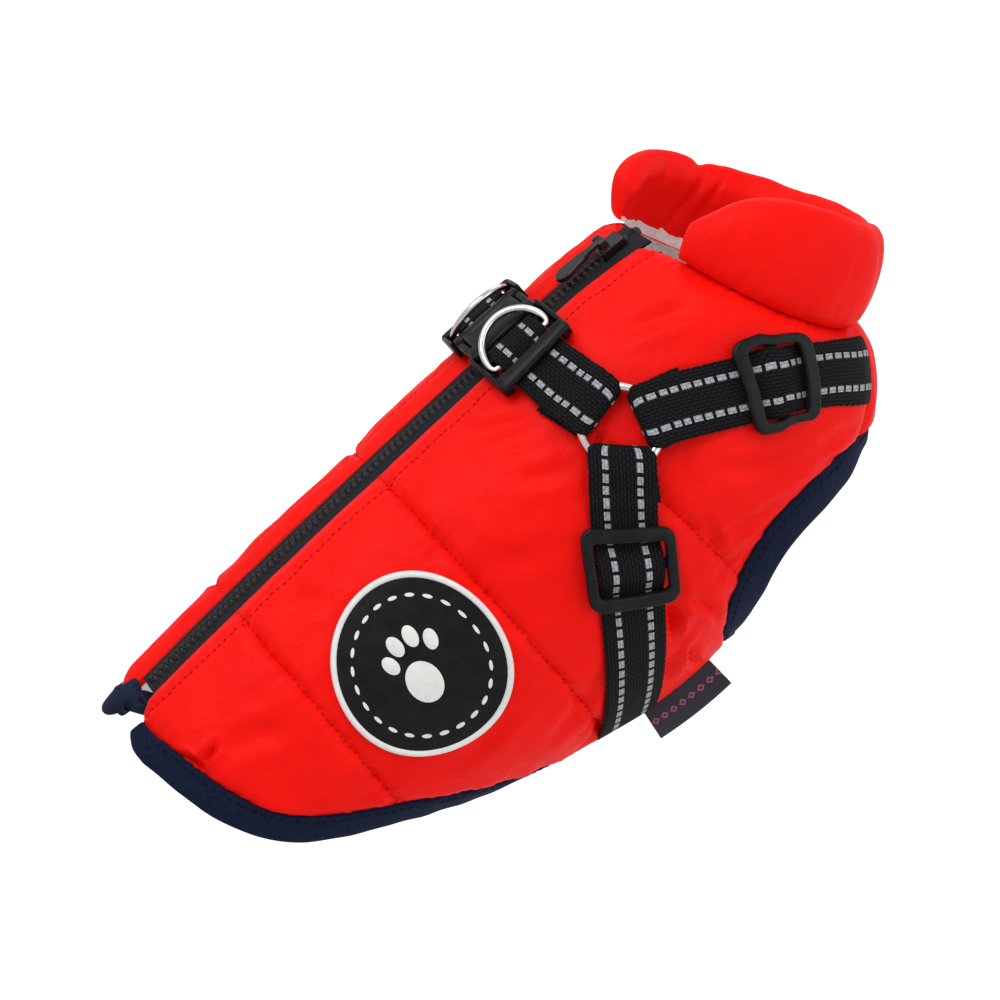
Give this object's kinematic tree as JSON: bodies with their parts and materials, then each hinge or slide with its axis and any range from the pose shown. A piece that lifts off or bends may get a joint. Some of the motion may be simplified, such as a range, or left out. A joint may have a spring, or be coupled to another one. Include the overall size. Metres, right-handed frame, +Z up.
{
  "type": "dog jacket",
  "caption": "Padded dog jacket that zips along the back, with a split stand collar, bound edges, a webbing harness, a side-release buckle and lead rings.",
  "frame": {"origin": "on the inner face of the back, on the midline under the buckle, where the jacket rests on the dog's withers", "axes": "+X towards the head, +Z up, +Y towards the dog's left"},
  "size_m": [0.2687, 0.1274, 0.1339],
  "materials": {
    "shell": "padded red woven polyester with a slight sheen, over a white fleece lining",
    "binding": "navy folded knit binding",
    "webbing": "black ribbed webbing with grey reflective dashes",
    "zip_tape": "black woven zip tape",
    "zip_teeth": "black moulded zip teeth",
    "zip_metal": "black lacquered zip slider and pull",
    "plastic": "black moulded acetal",
    "rubber": "black soft PVC with a raised white rim and drawing",
    "label": "navy satin label with a pink woven pattern",
    "nickel": "nickel-plated steel wire"
  },
  "bodies": {
    "jacket": {"flank_right": "shell", "flank_left": "shell", "chest_panel": "shell", "collar": "shell", "hem_binding": "binding", "armhole_binding_right": "binding", "armhole_binding_left": "binding", "zip_tape_right": "zip_tape", "zip_tape_left": "zip_tape", "zip_row_right": "zip_teeth", "zip_row_left": "zip_teeth", "zip_chain": "zip_teeth", "zip_slider": "zip_metal", "badge": "rubber", "label": "label", "back_strap_right": "webbing", "back_strap_left": "webbing", "chest_strap_right": "webbing", "chest_strap_left": "webbing", "belly_strap_right": "webbing", "belly_strap_left": "webbing", "ring_right": "nickel", "ring_left": "nickel", "chest_glide_right": "plastic", "chest_glide_left": "plastic", "belly_glide_right": "plastic", "belly_glide_left": "plastic", "buckle_socket": "plastic", "buckle_prong": "plastic"},
    "lead_ring_right": {"d_ring_right": "nickel"},
    "lead_ring_left": {"d_ring_left": "nickel"},
    "zip_tab": {"zip_pull": "zip_metal"}
  },
  "joints": [
    {"name": "lead_ring_right_swing", "type": "hinge", "parent": "jacket", "child": "lead_ring_right", "pos_m": [0.00179, -0.01736, 0.00617], "axis": [1, 0, 0], "range_deg": [0, 108]},
    {"name": "lead_ring_left_swing", "type": "hinge", "parent": "jacket", "child": "lead_ring_left", "pos_m": [0.00179, 0.01736, 0.00617], "axis": [-1, 0, 0], "range_deg": [0, 108]},
    {"name": "zip_tab_swing", "type": "hinge", "parent": "jacket", "child": "zip_tab", "pos_m": [0.0415, 0, 0.00574], "axis": [0, 1, 0], "range_deg": [0, 140]}
  ]
}
